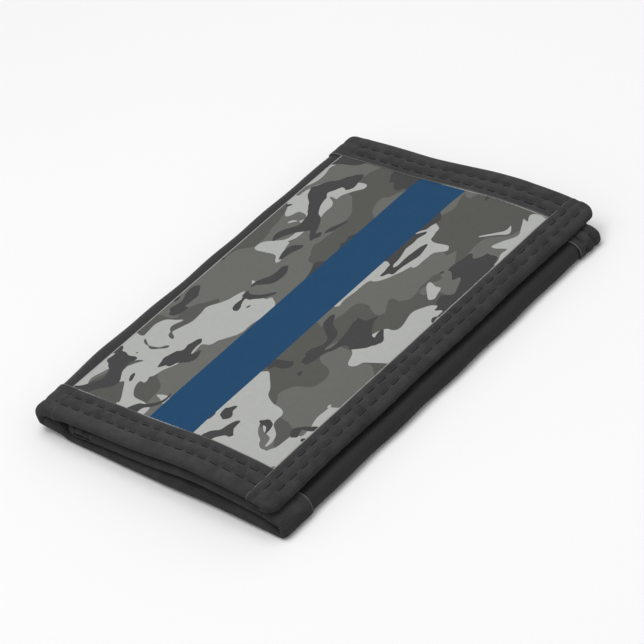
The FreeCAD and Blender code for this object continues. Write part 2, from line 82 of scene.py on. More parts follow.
def settle(x, y):
    """How far a soft panel lies above its drawn line: the near end springs up, the far end sinks."""
    reach = 0.22 + 0.34 * ease(x, -30, 12) - 0.26 * ease(x, 26, 40)
    droop = 0.45 * max(0.0, y / HALF_LONG - 0.75) / 0.25
    wave = 0.10 * math.sin(x * 0.13 + 1.1) * math.sin(y * 0.061 + 0.4)
    return -reach * y / HALF_LONG + wave - droop


def leaf_settle(x, y):
    """The same for the leaf under the flap. It stays level round its zip, which keeps it flat."""
    by_zip = (1 - ease(abs(x - 13), 8, 17)) * (1 - ease(abs(y), 47, 54))
    return 0.55 * settle(x, y) * (1 - by_zip)


def lift(x):
    """The centre panel curls up off the table towards the left fold."""
    return 1.2 * ease(-x, 32, 40)


def fold_point(part, k, y):
    """A fold's outer face: a soft bulge, squarer below where the cloth rests on the table."""
    turn = math.pi / 2 + math.pi * k * (1 if part == LEFT else -1)
    if part == LEFT:
        x, top, low = LEFT_X, face_height(LEFT_X) + settle(LEFT_X, y), lift(LEFT_X)
        reach = HALF_WIDE + LEFT_X + 0.55 + 1.4 * math.exp(-((y + 34) / 20) ** 2)
        at_end = ease(-y, 36, 57)
        square_top, square_low = 0.80 + 0.25 * at_end, 0.85 - 0.37 * at_end
    else:
        x, top, low = RIGHT_X, face_height(RIGHT_X, LEAF_TOP) + leaf_settle(RIGHT_X, y), 0.0
        reach, square_top, square_low = RIGHT_R + 0.75, 1.0, 0.55
    across, upward = math.cos(turn), math.sin(turn)
    square = square_top if upward > 0 else square_low
    mid, half = (top + low) / 2, (top - low) / 2
    return (x + reach * math.copysign(abs(across) ** square, across),
            mid + half * math.copysign(abs(upward) ** square, upward))


def line(part, k, y):
    """A point of the strip's outer face and its outward direction, in the x-z plane. For the
    panels k is x. For the folds it runs from 0 at the panel above to 1 at the panel below."""
    if part == FLAP:
        return k, face_height(k) + settle(k, y), 0.0, 1.0
    if part == LEAF:
        return k, face_height(k, LEAF_TOP) + leaf_settle(k, y), 0.0, 1.0
    if part == CENTRE:
        return k, lift(k), 0.0, -1.0
    x, z = fold_point(part, k, y)
    (x0, z0), (x1, z1) = fold_point(part, max(0.0, k - 0.03), y), fold_point(part, min(1.0, k + 0.03), y)
    side = 1 if part == LEFT else -1
    nx, nz = (z1 - z0) * side, (x0 - x1) * side
    size = math.hypot(nx, nz)
    blend = min(1.0, k / 0.1, (1 - k) / 0.1)
    nx, nz = nx / size * blend, nz / size * blend + (1 - blend) * (1 if k < 0.5 else -1)
    size = math.hypot(nx, nz)
    return x, z, nx / size, nz / size


def spot(part, k, y, level):
    """A point that lies a level off the strip's outer face, in millimetres."""
    x, z, nx, nz = line(part, k, y)
    return Vector((x + nx * level, y, z + nz * level))


def spread(low, high, step):
    count = max(2, int(round(abs(high - low) / step)) + 1)
    return [low + (high - low) * i / (count - 1) for i in range(count)]


def lengths(points):
    total, out = 0.0, [0.0]
    for a, b in zip(points, points[1:]):
        total += (b - a).length
        out.append(total)
    return out


def grid_mesh(name, rows, hole=None):
    """A sheet through rows of points in millimetres. Its UV map holds metres: u along the rows'
    order, v along each row. hole(a, b) is true where the sheet is cut away between two corners."""
    across = lengths(rows[len(rows) // 2])
    along = lengths([row[len(row) // 3] for row in rows])
    wide = len(rows[0])
    verts = [p * MM for row in rows for p in row]
    faces, marks = [], []
    for i in range(len(rows) - 1):
        for j in range(wide - 1):
            if hole and hole(rows[i][j], rows[i + 1][j + 1]):
                continue
            faces.append((i * wide + j, i * wide + j + 1, (i + 1) * wide + j + 1, (i + 1) * wide + j))
            marks.append([(along[a] * MM, across[b] * MM)
                          for a, b in ((i, j), (i, j + 1), (i + 1, j + 1), (i + 1, j))])
    mesh = bpy.data.meshes.new(name)
    mesh.from_pydata(verts, [], faces)
    layer = mesh.uv_layers.new(name="cloth")
    for face, uvs in zip(mesh.polygons, marks):
        for corner, uv in zip(face.loop_indices, uvs):
            layer.data[corner].uv = uv
        face.use_smooth = True
    if hole:
        work = bmesh.new()
        work.from_mesh(mesh)
        bmesh.ops.delete(work, geom=[v for v in work.verts if not v.link_faces], context="VERTS")
        work.to_mesh(mesh)
        work.free()
    obj = bpy.data.objects.new(name, mesh)
    bpy.context.collection.objects.link(obj)
    return obj


def face_to(obj, axis, sign):
    """Turns an open sheet so that its outer side faces one way along an axis."""
    if sum(face.normal[axis] * face.area for face in obj.data.polygons) * sign < 0:
        obj.data.flip_normals()


def cloth_material(name, color, rough, sheen=0.0, gloss=0.2):
    made = bpy.data.materials.new(name)
    made.use_nodes = True
    shader = made.node_tree.nodes["Principled BSDF"]
    shader.inputs["Base Color"].default_value = (*color, 1)
    shader.inputs["Roughness"].default_value = rough
    shader.inputs["Specular IOR Level"].default_value = gloss
    shader.inputs["Sheen Weight"].default_value = sheen
    shader.inputs["Sheen Roughness"].default_value = 0.5
    return made


class Nodes:
    """Short ways to add, set and join the nodes of one tree."""

    def __init__(self, tree):
        self.tree = tree

    def node(self, kind, **settings):
        """A new node. A setting is one of its own or else the value of an input."""
        made = self.tree.nodes.new(kind)
        for key, value in settings.items():
            if hasattr(made, key):
                setattr(made, key, value)
            else:
                made.inputs[key.replace("_", " ")].default_value = value
        return made

    def join(self, out, into):
        self.tree.links.new(out, into)

    def fill(self, socket, value):
        if isinstance(value, (int, float)):
            socket.default_value = value
        elif isinstance(value, tuple):
            socket.default_value = (*value, 1)
        else:
            self.join(value, socket)

    def sum(self, kind, *values):
        made = self.node("ShaderNodeMath", operation=kind)
        for socket, value in zip(made.inputs, values):
            self.fill(socket, value)
        return made.outputs[0]

    def mix(self, fac, one, two):
        made = self.node("ShaderNodeMix", data_type="RGBA")
        for slot, value in ((0, fac), (6, one), (7, two)):
            self.fill(made.inputs[slot], value)
        return made.outputs[2]


class Finish(Nodes):
    """The nodes of one material, which end in its shader."""

    def __init__(self, made):
        super().__init__(made.node_tree)
        self.shader = made.node_tree.nodes["Principled BSDF"]

    def color(self, out):
        self.join(out, self.shader.inputs["Base Color"])

    def rough(self, base, cloudy, share):
        uneven = self.sum("ADD", base, self.sum("MULTIPLY", cloudy, share))
        self.join(uneven, self.shader.inputs["Roughness"])

    def object_place(self):
        return self.node("ShaderNodeTexCoord").outputs["Object"]

    def cloth_map(self):
        """The piece's own map in millimetres: the place, and its parts along and across."""
        sized = self.node("ShaderNodeVectorMath", operation="SCALE", Scale=1000.0)
        self.join(self.node("ShaderNodeTexCoord").outputs["UV"], sized.inputs[0])
        parts = self.node("ShaderNodeSeparateXYZ")
        self.join(sized.outputs[0], parts.inputs[0])
        return sized.outputs[0], parts.outputs[0], parts.outputs[1]

    def noise(self, place, size, detail=2.0, rough=0.5):
        """Cloudy noise with patches of about one size, in the same unit as the place."""
        made = self.node("ShaderNodeTexNoise", Scale=1 / size, Detail=detail, Roughness=rough)
        self.join(place, made.inputs["Vector"])
        return made.outputs["Fac"]

    def wave(self, run, pitch):
        return self.sum("SINE", self.sum("MULTIPLY", run, 2 * math.pi / pitch))

    def shade(self, fac, *stops):
        made = self.node("ShaderNodeValToRGB")
        for mark, (place, color) in zip(made.color_ramp.elements, stops):
            mark.position, mark.color = place, (*color, 1)
        self.join(fac, made.inputs[0])
        return made.outputs["Color"]

    def bump(self, height, strength, depth):
        made = self.node("ShaderNodeBump", Strength=strength, Distance=depth)
        self.join(height, made.inputs["Height"])
        if self.shader.inputs["Normal"].is_linked:
            self.join(self.shader.inputs["Normal"].links[0].from_socket, made.inputs["Normal"])
        self.join(made.outputs[0], self.shader.inputs["Normal"])


def twill(name, dark, light, pitch, rough, sheen):
    """Fine diagonal twill with a dull coating, a little uneven, with faint handling marks."""
    made = cloth_material(name, dark, rough, sheen)
    w = Finish(made)
    place, along, across = w.cloth_map()
    rib = w.wave(w.sum("ADD", along, w.sum("MULTIPLY", across, 0.9)), pitch)
    cross = w.wave(w.sum("SUBTRACT", along, across), pitch * 1.3)
    weave = w.sum("ADD", w.sum("MULTIPLY", rib, 0.5), w.sum("MULTIPLY", cross, 0.22))
    cloudy = w.noise(place, 6.0, 4.0, 0.6)
    tone = w.sum("ADD", w.sum("MULTIPLY", weave, 0.45), w.sum("SUBTRACT", cloudy, 0.12))
    w.color(w.shade(tone, (0.3, dark), (0.75, light)))
    w.rough(rough - 0.1, cloudy, 0.22)
    w.bump(weave, 0.35, 0.00006)
    w.bump(w.noise(place, 3.0, 3.0, 0.55), 0.22, 0.0005)
    return made


outer_nylon = twill("outer_nylon", (0.012, 0.012, 0.0125), (0.027, 0.027, 0.028), 0.62, 0.6, 0.04)


def finish_piece(obj, material, slot, body=None, replaces=(), flat=None, area=None, held="laid",
                 thick=None, blend=None, rests_on=()):
    """Gives a cloth its thickness, finish and body, and stands it in for its plain solid."""
    if thick:
        wall = obj.modifiers.new("thickness", "SOLIDIFY")
        wall.thickness = thick * MM
        wall.offset = -1
    obj.data.materials.clear()
    obj.data.materials.append(material)
    if replaces:
        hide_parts(*([replaces] if isinstance(replaces, str) else replaces))
    if blend:
        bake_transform(obj)
    else:
        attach(obj, body)
    if flat:
        area = area * 1e-6 if area else None
        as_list(rests_on)
    return obj


BODY_OF = {FLAP: "flap", CENTRE: "centre", LEAF: "leaf"}


def cloth(name, part, x, y, level, node, material, slot, thick, rests_on=(), inside=False, step=1.5,
          held="laid", hole=None, area=None, xs=None, ys=None):
    """One cloth that lies on a panel: x and y are pairs of limits, and level a number or a rule.
    The cloth's thickness goes inwards, or outwards where it is seen from inside the wallet."""
    xs, ys = xs or spread(x[0], x[1], step), ys or spread(y[0], y[1], step)
    rows = [[spot(part, a, b, level(a, b) if callable(level) else level) for b in ys] for a in xs]
    obj = grid_mesh(name, rows, hole)
    face_to(obj, 2, 1 if (part != CENTRE) != inside else -1)
    flat = ((rows[-1][0] - rows[0][0]).length, (rows[0][-1] - rows[0][0]).length)
    return finish_piece(obj, material, slot, BODY_OF[part], node, flat, area, held, thick,
                        rests_on=rests_on)


ENDS = (-58.8, 55.8)
LEAF_SHELL = -4.6 - LEAF_TOP
for name, part, x, level in (("flap", FLAP, (LEFT_X + FOLD_LAP, FLAP_EDGE - 1), -TAPE),
                             ("centre", CENTRE, (LEFT_X + FOLD_LAP, RIGHT_X - FOLD_LAP), -TAPE),
                             ("leaf", LEAF, (LEAF_EDGE + 1, RIGHT_X - FOLD_LAP), LEAF_SHELL - CLOTH)):
    cloth("outer_" + name, part, x, ENDS, level, "shell_" + name, outer_nylon, "outer_nylon", CLOTH,
          inside=part == LEAF)

# The two folds. There the nylon has no card or lining in it, so it bends round in a soft bulge. It
# is the same cloth as the panels, creased a little across and slack in the middle.
FOLD_JOINTS = {LEFT: ("centre", "flap"), RIGHT: ("centre", "leaf")}
FOLD_INSET = 0.0003


def fold_blend(part):
    """The line that a fold's cloth turns along, from the centre panel up to the one above."""
    x = (LEFT_X if part == LEFT else RIGHT_X) * MM
    top = 2 * (LEFT_R if part == LEFT else RIGHT_R) * MM
    return (*FOLD_JOINTS[part], (x, 0, FOLD_INSET), (x, 0, top - FOLD_INSET))


def fold_walk(part):
    """Steps along the strip through a fold, from the panel above to the centre panel."""
    above, x, inward = (FLAP, LEFT_X, 1) if part == LEFT else (LEAF, RIGHT_X, -1)
    steps = [(above, x + inward * lap) for lap in spread(FOLD_LAP, 0.5, 0.5)]
    steps += [(part, k) for k in spread(0, 1, 0.04)]
    return steps + [(CENTRE, x + inward * lap) for lap in spread(0.5, FOLD_LAP, 0.5)]


def fold_cloth(name, part, node):
    rows = []
    for y in spread(ENDS[0], ENDS[1], 1.0):
        row = []
        for place, k in fold_walk(part):
            slack = 0.0
            if place == part:
                calm = math.exp(-(y / 46) ** 4)
                slack = 0.15 * math.sin(math.pi * k) * math.sin(y * 0.31 + 2.2 * k) * calm
                slack += 0.10 * math.sin(math.pi * k) * math.sin(y * 0.083 + 1.0)
            row.append(spot(place, k, y, slack - TAPE))
        rows.append(row)
    obj = grid_mesh(name, rows)
    face_to(obj, 0, -1 if part == LEFT else 1)
    return finish_piece(obj, outer_nylon, "outer_nylon", None, node,
                        (ENDS[1] - ENDS[0], lengths(rows[10])[-1]), None, "folded", CLOTH, fold_blend(part))


fold_cloth("nylon_left_fold", LEFT, "fold_left")
fold_cloth("nylon_right_fold", RIGHT, "fold_right")

# Printed panel: plain-weave nylon with a grey camouflage dyed into its face and one blue band along
# the wallet. It is cut to the panel and caught under the binding, with its pale cut edge showing.
PRINT_X, PRINT_Y = (-37.6, 33.45), 50.95
BAND_LEFT, BAND_RIGHT = -9.4, 6.2
OLIVE_GREY, DEEP_GREY = (0.136, 0.139, 0.127), (0.088, 0.090, 0.081)
PALE_GREY, CHARCOAL, BAND_BLUE = (0.435, 0.442, 0.425), (0.050, 0.050, 0.052), (0.007, 0.054, 0.132)
CUT_EDGE, CUT_WIDE = (0.42, 0.42, 0.41), 0.75
PRINT_THREAD, PRINT_PINCHED, PRINT_RISE = 0.36, -0.14, 0.16
printed = cloth_material("printed_cloth", OLIVE_GREY, 0.8, 0.0, 0.2)
w = Finish(printed)
place, along, across = w.cloth_map()


def patches(seed, size, turn, level, warp=10.0, fingers=0.05, finger_size=(4.5, 8.0)):
    """Hard-edged patches of one dye: long soft blobs whose edges run out into fingers."""
    moved = w.node("ShaderNodeVectorMath", operation="ADD")
    w.join(place, moved.inputs[0])
    moved.inputs[1].default_value = (seed * 37.0, seed * 53.0, seed * 11.0)
    bend = w.node("ShaderNodeTexNoise", Scale=1 / 15, Detail=1.0, Roughness=0.4)
    w.join(moved.outputs[0], bend.inputs["Vector"])
    centred = w.node("ShaderNodeVectorMath", operation="SUBTRACT")
    w.join(bend.outputs["Color"], centred.inputs[0])
    centred.inputs[1].default_value = (0.5, 0.5, 0.5)
    pushed = w.node("ShaderNodeVectorMath", operation="MULTIPLY_ADD")
    w.join(centred.outputs[0], pushed.inputs[0])
    pushed.inputs[1].default_value = (warp * 2, warp * 2, 0)
    w.join(moved.outputs[0], pushed.inputs[2])
    fields = []
    for wide, long in (size, finger_size):
        turned = w.node("ShaderNodeMapping")
        turned.inputs["Rotation"].default_value = (0, 0, turn)
        turned.inputs["Scale"].default_value = (1 / wide, 1 / long, 1)
        w.join(pushed.outputs[0], turned.inputs["Vector"])
        fields.append(w.noise(turned.outputs[0], 1.0, 0.6, 0.4))
    fringe = w.sum("MULTIPLY", w.sum("SUBTRACT", fields[1], 0.5), fingers * 4)
    return w.sum("GREATER_THAN", w.sum("ADD", fields[0], fringe), level)


dyed = w.mix(patches(1, (20, 34), 0.3, 0.54), OLIVE_GREY, DEEP_GREY)
dyed = w.mix(patches(2, (17, 34), 0.2, 0.535, 12.0, 0.07), dyed, PALE_GREY)
dyed = w.mix(patches(7, (13, 19), -0.5, 0.60, 9.0, 0.12, (3.6, 6.5)), dyed, CHARCOAL)
middle = (BAND_LEFT + BAND_RIGHT) / 2 - PRINT_X[0]
off_middle = w.sum("ABSOLUTE", w.sum("SUBTRACT", along, middle))
dyed = w.mix(w.sum("LESS_THAN", off_middle, (BAND_RIGHT - BAND_LEFT) / 2), dyed, BAND_BLUE)
thread = w.sum("MULTIPLY", w.wave(along, PRINT_THREAD), w.wave(across, PRINT_THREAD))
worn = w.sum("ADD", w.sum("MULTIPLY", w.noise(place, 1.8, 5.0, 0.6), 0.14), w.sum("MULTIPLY", thread, 0.045))
toned = w.node("ShaderNodeHueSaturation")
w.join(dyed, toned.inputs["Color"])
w.join(w.sum("ADD", 0.93, worn), toned.inputs["Value"])
from_side = w.sum("MINIMUM", w.sum("MULTIPLY", along, 2.0), w.sum("SUBTRACT", PRINT_X[1] - PRINT_X[0], along))
from_end = w.sum("MINIMUM", across, w.sum("SUBTRACT", 2 * PRINT_Y, across))
from_edge = w.sum("ADD", w.sum("MINIMUM", from_side, from_end), w.sum("MULTIPLY", w.noise(place, 0.7), 0.3))
w.color(w.mix(w.sum("LESS_THAN", from_edge, CUT_WIDE), toned.outputs[0], CUT_EDGE))
w.bump(thread, 0.3, 0.00005)
w.bump(w.noise(place, 8.0, 3.0, 0.5), 0.2, 0.0012)


def print_level(x, y):
    """The printed cloth is pinched down where the binding is sewn over it."""
    edge = min(x - PRINT_X[0], PRINT_X[1] - x, PRINT_Y - y, PRINT_Y + y)
    return PRINT_PINCHED + PRINT_RISE * ease(edge, 0.2, 6)


cloth("camouflage_panel", FLAP, PRINT_X, (-PRINT_Y, PRINT_Y), print_level, "printed_panel", printed,
      "printed_cloth", 0.2, "outer_flap", step=0.8, held="stretched")

# Sewing thread: bonded black polyester, laid in long lockstitches that pull down into the cloth.
# One small tree sets a stitch at each point of a path, along the path, for every row on the wallet.
thread_black = cloth_material("sewing_thread", (0.010, 0.010, 0.0105), 0.55, 0.0, 0.3)
w = Finish(thread_black)
place = w.object_place()
twist = w.node("ShaderNodeTexWave", Scale=900.0, Distortion=2.0)
w.join(place, twist.inputs["Vector"])
w.color(w.shade(twist.outputs["Fac"], (0.2, (0.007, 0.007, 0.0075)), (0.9, (0.020, 0.020, 0.021))))
w.bump(twist.outputs["Fac"], 0.4, 0.00004)


class Repeat(Nodes):
    """A node tree that sets one small piece at many places, with named inputs."""

    def __init__(self, name, *sizes):
        super().__init__(bpy.data.node_groups.new(name, "GeometryNodeTree"))
        self.ports = {}
        face = self.tree.interface
        face.new_socket("Geometry", in_out="INPUT", socket_type="NodeSocketGeometry")
        face.new_socket("Geometry", in_out="OUTPUT", socket_type="NodeSocketGeometry")
        for size in sizes:
            port = face.new_socket(size, in_out="INPUT", socket_type="NodeSocketFloat")
            self.ports[size] = port.identifier
        port = face.new_socket("Material", in_out="INPUT", socket_type="NodeSocketMaterial")
        self.ports["Material"] = port.identifier
        self.given = self.node("NodeGroupInput").outputs

    def aimed(self, direction):
        """A turn that points a piece's Z axis along a direction."""
        aim = self.node("FunctionNodeAlignRotationToVector", axis="Z")
        self.join(self.node(direction).outputs[0], aim.inputs["Vector"])
        return aim.outputs[0]

    def lay(self, points, piece, turn):
        """One piece at every point."""
        laid = self.node("GeometryNodeInstanceOnPoints")
        for out, into in ((points, "Points"), (piece, "Instance"), (turn, "Rotation")):
            self.join(out, laid.inputs[into])
        return laid

    def close(self, instances):
        """Ends the tree: real geometry, smooth, in its material."""
        real = self.node("GeometryNodeRealizeInstances")
        smooth = self.node("GeometryNodeSetShadeSmooth")
        dressed = self.node("GeometryNodeSetMaterial")
        self.join(instances, real.inputs[0])
        self.join(real.outputs[0], smooth.inputs[0])
        self.join(smooth.outputs[0], dressed.inputs[0])
        self.join(self.given["Material"], dressed.inputs["Material"])
        self.join(dressed.outputs[0], self.node("NodeGroupOutput").inputs[0])

    def make(self, name, source, material, **sizes):
        """Runs the tree on a source mesh and returns the result as a plain mesh object."""
        live = bpy.data.objects.new(name + "_source", source)
        bpy.context.collection.objects.link(live)
        run = live.modifiers.new("repeat", "NODES")
        run.node_group = self.tree
        for key, value in sizes.items():
            run[self.ports[key.replace("_", " ")]] = value
        run[self.ports["Material"]] = material
        bpy.context.view_layer.update()
        seen = live.evaluated_get(bpy.context.evaluated_depsgraph_get())
        mesh = bpy.data.meshes.new_from_object(seen)
        bpy.data.objects.remove(live)
        obj = bpy.data.objects.new(name, mesh)
        bpy.context.collection.objects.link(obj)
        return obj


sewing = Repeat("lockstitch", "Stitch length", "Thread thickness")
path = sewing.node("GeometryNodeMeshToCurve")
sewing.join(sewing.given["Geometry"], path.inputs[0])
bead = sewing.node("GeometryNodeMeshUVSphere", Segments=6, Rings=6, Radius=0.5)
shape = sewing.node("ShaderNodeCombineXYZ")
for axis, size in (("X", "Thread thickness"), ("Y", "Thread thickness"), ("Z", "Stitch length")):
    sewing.join(sewing.given[size], shape.inputs[axis])
laid = sewing.lay(path.outputs[0], bead.outputs[0], sewing.aimed("GeometryNodeInputTangent"))
sewing.join(shape.outputs[0], laid.inputs["Scale"])
sewing.close(laid.outputs[0])
STITCH, THREAD = 3.0, 0.56
FINE = {"stitch": 2.3, "thick": 0.28}


def sew(name, rows, slot, body=None, blend=None, stitch=STITCH, thick=THREAD):
    """Rows of stitches through the given stitch centres, in millimetres, on one body."""
    source = bpy.data.meshes.new(name + "_path")
    verts, edges = [], []
    for row in rows:
        edges += [(len(verts) + i, len(verts) + i + 1) for i in range(len(row) - 1)]
        verts += [p * MM for p in row]
    source.from_pydata(verts, edges, [])
    obj = sewing.make(name, source, thread_black, Stitch_length=stitch * MM,
                      Thread_thickness=thick * MM)
    if blend:
        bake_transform(obj)
    else:
        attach(obj, body)
    return obj


# Binding tape: charcoal ribbed polyester tape, 19 mm wide, folded over every raw edge and sewn
# through with two rows of long stitches. It puffs up between the rows and rolls over in a thick lip,
# and each stitch draws a small dimple in it.
tape_cloth = cloth_material("binding_tape", (0.032, 0.032, 0.033), 0.88, 0.05, 0.15)
w = Finish(tape_cloth)
place, along, across = w.cloth_map()
weave = w.sum("ADD", w.sum("MULTIPLY", w.wave(along, 0.6), 0.5), w.sum("MULTIPLY", w.wave(across, 0.42), 0.2))
fuzz = w.noise(place, 0.4, 3.0, 0.7)
tone = w.sum("ADD", w.sum("MULTIPLY", w.noise(place, 5.0, 4.0, 0.6), 0.6), w.sum("MULTIPLY", fuzz, 0.4))
tone = w.sum("ADD", tone, w.sum("MULTIPLY", weave, 0.16))
dyed = w.shade(tone, (0.27, (0.019, 0.019, 0.020)), (0.8, (0.068, 0.068, 0.071)))
# A thin lighter line along the tape's inner edge: a painted highlight where the edge catches the light, not a
# paler thread.
painted_edge_highlight = w.sum("LESS_THAN", w.sum("ADD", across, w.sum("MULTIPLY", w.noise(place, 0.8), 0.2)), 0.32)
w.color(w.mix(painted_edge_highlight, dyed, (0.13, 0.13, 0.13)))
w.bump(weave, 0.22, 0.00009)
w.bump(fuzz, 0.25, 0.0001)

WIDE, EDGE_WIDE, PITCH = 9.8, 7.1, 4.05
ROWS, EDGE_ROWS = (2.3, 5.7), (2.0, 4.9)
PHASES, UNDER_PHASE = (0.32, 0.70), 0.3
LIP, DIMPLE, TAPE_WALL, TAPE_STEP = 1.8, 0.38, 0.36, 0.36
THREAD_SUNK, FAR_SHORT, HIDDEN_TURN, END_LAP, CORNER_RUN = 0.16, 0.6, 1.4, 0.3, 1.6
FOLD_CALM = {-1: {LEFT: 0.7, RIGHT: 1.0}, 1: {LEFT: 0.75, RIGHT: 0.3}}


def puff(c, beat, wide, rows, swell):
    """How far the tape stands above its drawn face, c millimetres out from its inner edge. beat
    counts the stitches along the tape."""
    first, second = rows
    if c < first:
        rise = 0.04 + 0.12 * math.sin(math.pi * c / first)
    elif c < second:
        rise = 0.04 + 0.36 * math.sin(math.pi * (c - first) / (second - first))
    else:
        rise = 0.04 + 0.40 * math.sin(math.pi / 2 * min(1.0, (c - second) / 1.9))
    for row, phase in zip(rows, PHASES):
        inside = 0.5 + 0.5 * math.cos(2 * math.pi * (beat - phase))
        rise -= (0.06 + DIMPLE * ease(inside, 0.12, 0.6)) * math.exp(-((c - row) / 0.55) ** 2)
        rise += 0.07 * (inside - 0.5) * math.exp(-((c - row) / 1.5) ** 2)
    slanted = beat - 0.5 - 0.38 * (c - first) / (second - first)
    between = max(0.0, math.sin(math.pi * min(1.0, max(0.0, (c - first) / (second - first)))))
    rise -= 0.09 * between * math.cos(2 * math.pi * slanted)
    rise += 0.035 * math.sin(beat * 1.7 + c * 0.6) * math.sin(beat * 0.53 + 2.0 * c / wide)
    return rise * swell


def tape_row(place, beat, wide, reach, rows, thick, top=1.0, low=0.5, extra=0.0, pinch=1.0):
    """One row across a folded tape: over the outer face, round the lip and back underneath.
    place(c, level) is a point c out from the tape's inner edge, at a level off the panel's face.
    reach is how far out the lip lies here, and pinch presses the two plies together."""
    flat_end, steps = reach - LIP, round((wide - LIP) / TAPE_STEP)
    flat = [flat_end * i / steps for i in range(steps + 1)]
    spots = [(c, puff(c, beat, wide, rows, top) + extra) for c in flat]
    high = spots[-1][1]
    under = -thick - puff(flat_end, beat + UNDER_PHASE, wide, rows, low) - extra
    mid, half = (high + under) / 2, (high - under) / 2
    for turn in spread(math.pi / 2, -math.pi / 2, math.pi / 13)[1:-1]:
        bulge = math.copysign(abs(math.sin(turn)) ** 0.85, turn)
        spots.append((flat_end + LIP * math.cos(turn), mid + half * bulge))
    spots += [(c, -thick - puff(c, beat + UNDER_PHASE, wide, rows, low) - extra) for c in reversed(flat)]
    centre = -thick / 2
    return [place(c, centre + (level - centre) * pinch) for c, level in spots]


def beats(points):
    """The stitch count reached at each point of a run, with a whole number over the run."""
    run = lengths(points)
    count = max(1, round(run[-1] / PITCH))
    return [r / run[-1] * count for r in run], count


def between(points, marks, value):
    """The point of a run at one value of its marks."""
    for i in range(len(marks) - 1):
        if value <= marks[i + 1]:
            return points[i].lerp(points[i + 1], (value - marks[i]) / (marks[i + 1] - marks[i]))
    return points[-1]


def finish_tape(name, rows, seams, marks, count, facing, node, body, blend=None, skip=0):
    """Makes the tape from its rows and sews its seams, two above and two below. skip leaves out the
    stitches at both ends of every seam."""
    obj = grid_mesh(name, rows)
    face_to(obj, *facing)
    middle = len(rows[0]) // 2
    flat = (lengths([row[middle] for row in rows])[-1], lengths(rows[len(rows) // 2])[-1])
    finish_piece(obj, tape_cloth, "binding_tape", body, node, flat, None, "folded", TAPE_WALL, blend)
    shown = range(skip, count - skip)
    sewn = [[between(seam, marks, i + PHASES[n % 2]) for i in shown] for n, seam in enumerate(seams)]
    return sew("stitches_" + name, sewn, "binding_tape", body, blend)


def calm_at(part, k, sign):
    """1 where the tape is drawn smooth round a fold, and 0 where it puckers freely."""
    if part in (LEFT, RIGHT):
        return FOLD_CALM[sign][part]
    lap = min(abs(k - LEFT_X), abs(k - RIGHT_X))
    return FOLD_CALM[sign][LEFT if k < 0 else RIGHT] * (1 - ease(lap, 0.0, 4.0))


def overhang(part, k, sign):
    """The centre panel's near edge reaches out past the others from its middle to the right fold."""
    if sign > 0 or part not in (CENTRE, RIGHT):
        return 0.0
    return 0.55 * (ease(k, -26, -8) if part == CENTRE else ease(k, 0.0, 0.8))


def far_pull(part, k):
    """How far the far edge is drawn in: most at the right fold, and a little at the left one."""
    if part == FLAP:
        return 0.5 * (1 - ease(k, -18, 8))
    if part in (LEFT, RIGHT):
        return 0.5 if part == LEFT else 2.0
    return 2.0 * ease(k, RIGHT_X - 16, RIGHT_X)


def end_tape(name, walk, sign, thick_of, node, body=None, blend=None, hidden_from=None):
    """Tape over the near or far edge of one stretch of the strip. Where its end runs under the
    tape of a free edge, from hidden_from on, it is pressed flat."""
    marks, count = beats([spot(part, k, sign * HALF_LONG, 0) for part, k in walk])
    rows, seams = [], [[], [], [], []]
    for (part, k), beat in zip(walk, marks):
        hidden = 0.0
        if hidden_from and part in (FLAP, LEAF):
            hidden = ease((k - hidden_from) * math.copysign(1, hidden_from), -0.4, 1.2)
        lower = {FLAP: 0.0, LEAF: 0.0, CENTRE: 1.0}.get(part, ease(k, 0.5, 1.0))
        calm, pulled = calm_at(part, k, sign), far_pull(part, k)
        thick = thick_of(part, k) - 0.45 * hidden
        reach = HALF_LONG - 0.4 * hidden + 0.10 * math.sin(beat * 0.9 + sign) * (1 - calm)
        reach += overhang(part, k, sign)

        def place(c, level):
            short = pulled + (FAR_SHORT + 0.65 * pulled) * (c / WIDE) ** 2 if sign > 0 else 0.0
            return spot(part, k, sign * (reach - WIDE + c - short), level)

        free = (1 - hidden) * (1 - calm)
        rows.append(tape_row(place, beat, WIDE, WIDE, ROWS, thick, (1 - lower) * free,
                             (0.5 + 0.5 * lower) * free))
        for n, c in enumerate(ROWS):
            seams[n].append(place(c, -THREAD_SUNK - 0.15 * lower - 0.3 * calm))
            seams[n + 2].append(place(c, -thick + THREAD_SUNK))
    return finish_tape(name, rows, seams, marks, count, (1, sign), node, body, blend)


def leaf_under(x):
    """Underside of the leaf's near tape."""
    return face_height(x, LEAF_TOP) + leaf_settle(x, -HALF_LONG) - 2.85


def centre_near(x):
    """The centre's near tape holds the note compartment's two cloths and puffs up to the leaf."""
    filled = min(3.7, leaf_under(x) - lift(x) - 0.75)
    return max(1.7, filled * ease(x, -36, -24), 4.0 - 2.3 * ease(x, -35, -32))


def near_thick(part, k):
    if part == FLAP:
        return 2.9 - 1.0 * ease(k, -36, -31)
    if part == LEFT:
        return 2.9 + (centre_near(LEFT_X) - 2.9) * k + 0.4 * math.sin(math.pi * k)
    if part == CENTRE:
        return centre_near(k)
    if part == RIGHT:
        low = centre_near(RIGHT_X)
        return low + (2.55 - low) * (1 - k) ** 1.5
    return 2.6 - 0.05 * ease(k, 30, RIGHT_X)


def far_thick(part, k):
    if part == FLAP:
        return 1.55 - 0.8 * math.exp(-((k - 13) / 8) ** 4)
    if part == LEFT:
        return 1.55 - 0.25 * k
    if part == RIGHT:
        return 1.3 + 1.0 * (1 - k) ** 1.5
    return 1.3 if part == CENTRE else 2.3


def panel_walk(part, start, end):
    return [(part, k) for k in spread(start, end, 0.5)]


